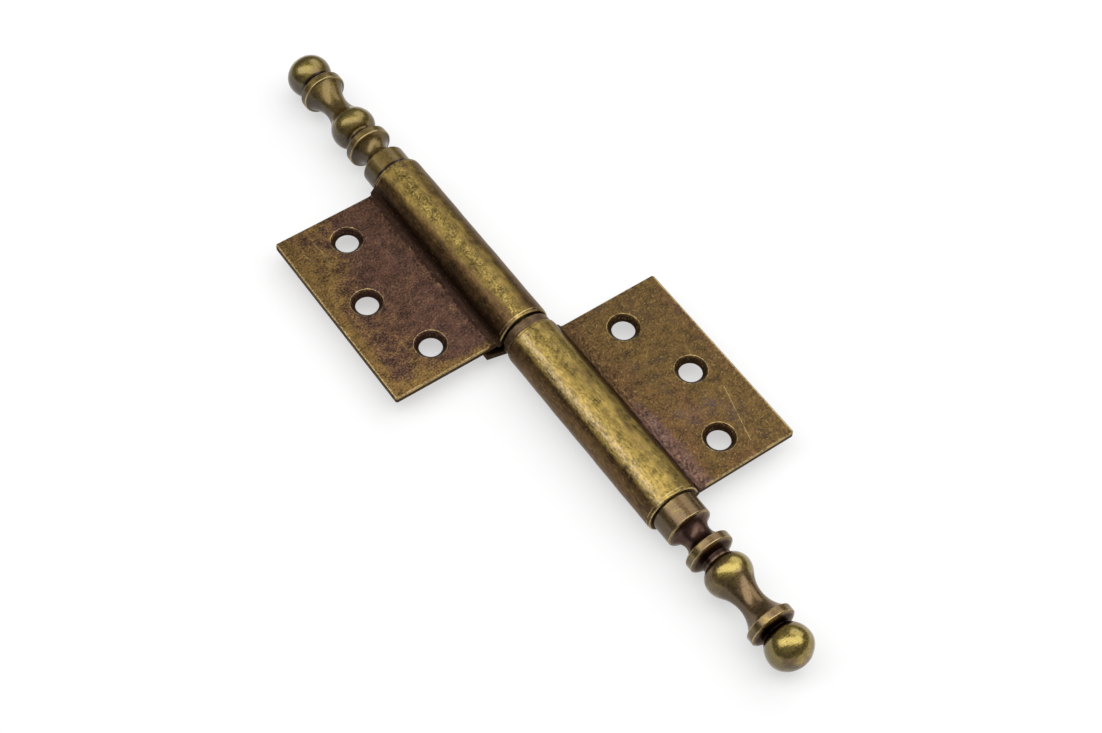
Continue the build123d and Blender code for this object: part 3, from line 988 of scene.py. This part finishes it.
def turned_brass(name, shift, swell_olive, swell_brown, cove_shade_and_grime_share, dullness, underside_shade_share):
    """Patinated turned brass: yellow on the swells, brown between them, with tool lines round it.

    The swell mask, pushed about by clouds and blotches, sets how far olive goes to brown. Clouds, grain and
    tool lines vary its tone. Painted shade darkens the underside by underside_shade_share, and patina and
    painted shade darken the cove by cove_shade_and_grime_share. Where the shade_and_grime mask nears 1, in
    the pinches and on the collar's base, painted shade covers all. Pits and bare edges lie on top.
    """
    material, tree, shader = new_material(name)
    field = use(tree, "patina", {"Shift": shift, "Blotch mm": 6.0, "Cloud mm": 1.8, "Grain mm": 0.4})
    edge, shade_and_grime, under, swell = (mask(tree, key) for key in ("edge", "shade_and_grime", "under", "swell"))
    cloud, grain = field["Cloud"], field["Grain"]
    line = use(tree, "lines", {"Pitch mm": 0.3})["Line"]
    worn = use(tree, "wear", {"Edge": edge, "Cloud": cloud, "Grain": grain, "Reach": 0.6})["Wear"]
    brown_share = times_plus(tree, swell, -0.75, 0.95)
    browned = swayed(tree, brown_share, (cloud, 0.5), (field["Blotch"], 0.6))
    colour = mixed(tree, browned, swell_olive, swell_brown)
    tone = times_plus(tree, line, 0.2, times_plus(tree, grain, 0.35, 0.6))
    tone = times_plus(tree, cloud, 0.3, tone)
    colour = scaled(tree, colour, tone)
    # Painted shade on the underside
    colour = mixed(tree, times(tree, under, underside_shade_share), colour, underside_shade_colour)
    # Patina and painted shade in the cove, and painted shade in the pinches and at the collar's base
    shade_and_grime_share = times(tree, swayed(tree, shade_and_grime, (cloud, 0.3)), cove_shade_and_grime_share)
    colour = mixed(tree, shade_and_grime_share, colour, cove_shade_and_grime)
    colour = mixed(tree, between(tree, shade_and_grime, 0.78, 1.0), colour, dark_shade_and_grime)
    colour = mixed(tree, times(tree, field["Pit"], 0.4), colour, dark_shade_and_grime)
    colour = mixed(tree, times(tree, worn, 0.9), colour, bare_brass)
    roughness = times_plus(tree, grain, 0.1, times_plus(tree, cloud, 0.1, dullness))
    roughness = times_plus(tree, browned, 0.08, roughness)
    dulled = calc(tree, "MAXIMUM", shade_and_grime_share, times(tree, browned, 0.55))
    lumps = times_plus(tree, grain, 0.22, times(tree, cloud, 0.8))
    height = times_plus(tree, line, 0.3, lumps)
    finish_metal(
        tree, shader, colour, roughness, height, bump_mm=0.018, coat=1.0, coat_roughness=0.12, shade_and_grime_share=dulled
    )
    return material


def washer_brass(name):
    """Dull brown brass of the washer, with tool lines."""
    material, tree, shader = new_material(name)
    field = use(tree, "patina", {"Shift": (0.7, 0.4, 0.1), "Cloud mm": 1.5})
    edge, shade_and_grime = (mask(tree, key) for key in ("edge", "shade_and_grime"))
    inputs = {"Edge": edge, "Cloud": field["Cloud"], "Grain": field["Grain"], "Reach": 0.2}
    worn = use(tree, "wear", inputs)["Wear"]
    line = use(tree, "lines", {"Pitch mm": 0.25})["Line"]
    colour = mixed(tree, field["Cloud"], washer_dark, washer_light)
    # Painted shade on the washer's hidden faces, and less on its rim
    colour = mixed(tree, times(tree, shade_and_grime, 0.6), colour, dark_shade_and_grime)
    colour = mixed(tree, times(tree, worn, 0.6), colour, bare_brass)
    roughness = times_plus(tree, field["Grain"], 0.2, 0.35)
    height = times_plus(tree, line, 0.6, times(tree, field["Grain"], 0.4))
    finish_metal(tree, shader, colour, roughness, height, bump_mm=0.02, coat=0.3, coat_roughness=0.3)
    return material


def pin_steel(name):
    """Ground steel with fine lines round it and a brown film of old grease in blotches."""
    material, tree, shader = new_material(name)
    field = use(tree, "patina", {"Shift": (0.2, 0.9, 0.5), "Cloud mm": 3.0})
    line = use(tree, "lines", {"Pitch mm": 0.12})["Line"]
    film = between(tree, field["Blotch"], 0.4, 0.9)
    colour = mixed(tree, line, steel_dark, steel_light)
    colour = mixed(tree, times(tree, film, 0.5), colour, old_grease)
    roughness = times_plus(tree, film, 0.2, times_plus(tree, line, 0.1, 0.24))
    finish_metal(tree, shader, colour, roughness, line, bump_mm=0.006, coat=0.0, coat_roughness=0.3)
    return material


# Scratches on the leaves' faces: from, to, both in metres, and width in millimetres
upper_scratches = (
    ((-0.0259, 0.0473, 0), (-0.0242, 0.0452, 0), 0.16),
    ((-0.0242, 0.0452, 0), (-0.0237, 0.0420, 0), 0.16),
    ((-0.0237, 0.0420, 0), (-0.0241, 0.0382, 0), 0.14),
    ((-0.0273, 0.0435, 0), (-0.0268, 0.0409, 0), 0.16),
)
lower_scratches = (
    ((0.0259, -0.0327, 0), (0.0224, -0.0459, 0), 0.16),
    ((0.0068, -0.0182, 0), (0.0068, -0.0188, 0), 0.4),
)

materials = {
    "upper_leaf": sheet_brass(
        "upper_sheet_brass",
        shift=(0.11, 0.52, 0.31),
        leaf_purple=(0.108, 0.052, 0.035, 1),
        leaf_olive=(0.205, 0.12, 0.037, 1),
        rust_share=0.2,
        knuckle_olive=(0.23, 0.155, 0.037, 1),
        knuckle_ridge_wear_and_highlight=(0.46, 0.33, 0.095, 1),
        painted_glint_share=0.16,
        scratches=upper_scratches,
    ),
    "lower_leaf": sheet_brass(
        "lower_sheet_brass",
        shift=(0.47, 0.23, 0.84),
        leaf_purple=(0.185, 0.108, 0.094, 1),
        leaf_olive=(0.118, 0.068, 0.019, 1),
        rust_share=0.5,
        knuckle_olive=(0.285, 0.197, 0.048, 1),
        knuckle_ridge_wear_and_highlight=(0.4, 0.3, 0.155, 1),
        painted_glint_share=0.28,
        scratches=lower_scratches,
    ),
    "upper_finial": turned_brass(
        "upper_turned_brass",
        shift=(0.3, 0.1, 0.2),
        swell_olive=(0.205, 0.148, 0.022, 1),
        swell_brown=(0.17, 0.114, 0.032, 1),
        cove_shade_and_grime_share=0.12,
        dullness=0.22,
        underside_shade_share=0.9,
    ),
    "lower_finial": turned_brass(
        "lower_turned_brass",
        shift=(0.6, 0.4, 0.7),
        swell_olive=(0.308, 0.226, 0.038, 1),
        swell_brown=(0.155, 0.096, 0.04, 1),
        cove_shade_and_grime_share=0.95,
        dullness=0.14,
        underside_shade_share=0.65,
    ),
    "washer": washer_brass("washer_brass"),
    "pin": pin_steel("pin_steel"),
}


def dress(piece, body, node, material):
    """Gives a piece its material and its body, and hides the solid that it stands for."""
    piece.data.materials.append(material)
    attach(piece, body)
    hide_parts(node)


for half, turned_round, olive_share in (("lower", False, lower_olive), ("upper", True, upper_olive)):
    rolled = leaf_shape(olive_share, **sheet_wear_and_painted_light[half])
    leaf = fill_piece(f"{half}_leaf_rolled", *rolled, turned_round=turned_round)
    dress(leaf, f"{half}_half", f"{half}_leaf", materials[f"{half}_leaf"])
    turned = finial_shape(collar_shadow_reaches[half])
    finial = fill_piece(f"{half}_finial_turned", *turned, turned_round=not turned_round)
    dress(finial, f"{half}_half", f"{half}_finial", materials[f"{half}_finial"])
washer = fill_piece("bearing_washer_ring", *washer_shape())
dress(washer, "washer", "bearing_washer", materials["washer"])
pin = fill_piece("hinge_pin_turned", *pin_shape())
dress(pin, "lower_half", "hinge_pin", materials["pin"])


# Stage: floor, light and camera, in metres and degrees
floor_half = 4.0
floor_gap = 0.0001
floor_grey = (0.44, 0.44, 0.44, 1)
floor_lift = 0.53
white = (1, 1, 1, 1)
room_glow_low = 0.22
room_glow_high = 0.42
camera_sensor = 36
camera_lens = 66.32
camera_aim = (-0.00045, -0.00903, 0)
camera_distance = 0.4142
camera_azimuth = -37.457
camera_elevation = 55.733
camera_roll = 2.806


def add_floor():
    """Wide pale floor under the object: it takes shadows, and camera and metal see it lifted to white."""
    mesh = bpy.data.meshes.new("floor")
    corners = np.array([(-1, -1), (1, -1), (1, 1), (-1, 1)]) * floor_half
    level = cad_box[0].z - floor_gap
    mesh.from_pydata([(x, y, level) for x, y in corners], [], [(0, 1, 2, 3)])
    floor = bpy.data.objects.new("floor", mesh)
    bpy.context.scene.collection.objects.link(floor)
    material, tree, shader = new_material("floor_white")
    tree.nodes.remove(shader)
    path = put(tree, "LightPath").outputs
    seen = calc(tree, "MAXIMUM", path["Is Camera Ray"], path["Is Glossy Ray"])
    seen = calc(tree, "MAXIMUM", seen, path["Is Transmission Ray"])
    strength = times(tree, seen, floor_lift)
    lift = put(tree, "Emission", {"Color": white, "Strength": strength})
    paint = put(tree, "BsdfDiffuse", {"Color": floor_grey})
    both = put(tree, "AddShader", {0: lift.outputs[0], 1: paint.outputs[0]})
    tree.links.new(both.outputs[0], tree.nodes["Material Output"].inputs["Surface"])
    mesh.materials.append(material)


def add_lamp(name, place, aim, size, turn, power):
    """Soft lamp with an oblong front, at a place, turned to its aim and then about its own axis."""
    lamp = bpy.data.lights.new(name, "AREA")
    lamp.shape = "RECTANGLE"
    lamp.size, lamp.size_y = size
    lamp.energy = power
    holder = bpy.data.objects.new(name, lamp)
    holder.location = place
    facing = (Vector(aim) - Vector(place)).to_track_quat("-Z", "Y").to_matrix()
    holder.rotation_euler = (facing @ Matrix.Rotation(math.radians(turn), 3, "Z")).to_euler()
    bpy.context.scene.collection.objects.link(holder)


def add_world():
    """Studio room: dim near the horizon and brighter overhead."""
    world = bpy.data.worlds.new("studio")
    world.use_nodes = True
    bpy.context.scene.world = world
    tree = world.node_tree
    height = put(tree, "SeparateXYZ", {0: put(tree, "TexCoord").outputs["Generated"]}).outputs["Z"]
    glow = between(tree, height, 0.3, 0.95, room_glow_low, room_glow_high)
    background = tree.nodes["Background"]
    background.inputs["Color"].default_value = white
    tree.links.new(glow, background.inputs["Strength"])


def add_camera():
    """Camera where the photograph was taken from, by its aim, distance, angles and roll in degrees."""
    camera = bpy.data.cameras.new("camera")
    camera.sensor_width = camera_sensor
    camera.lens = camera_lens
    holder = bpy.data.objects.new("camera", camera)
    aside = Matrix.Rotation(math.radians(camera_azimuth), 3, "Z")
    down = Matrix.Rotation(math.radians(90 - camera_elevation), 3, "X")
    turn = aside @ down @ Matrix.Rotation(math.radians(camera_roll), 3, "Z")
    holder.location = Vector(camera_aim) + camera_distance * (turn @ Vector((0, 0, 1)))
    holder.rotation_euler = turn.to_euler()
    bpy.context.scene.collection.objects.link(holder)
    bpy.context.scene.camera = holder


add_floor()
add_world()
add_lamp("overhead_softbox", (-0.03, -0.06, 0.8), (-0.03, -0.06, 0), size=(2.4, 0.62), turn=-35, power=9.4)
add_lamp("right_softbox", (0.86, 0.31, 0.83), (0, 0, 0), size=(1.1, 0.8), turn=0, power=3.6)
add_camera()
bpy.context.scene.view_settings.view_transform = "Standard"
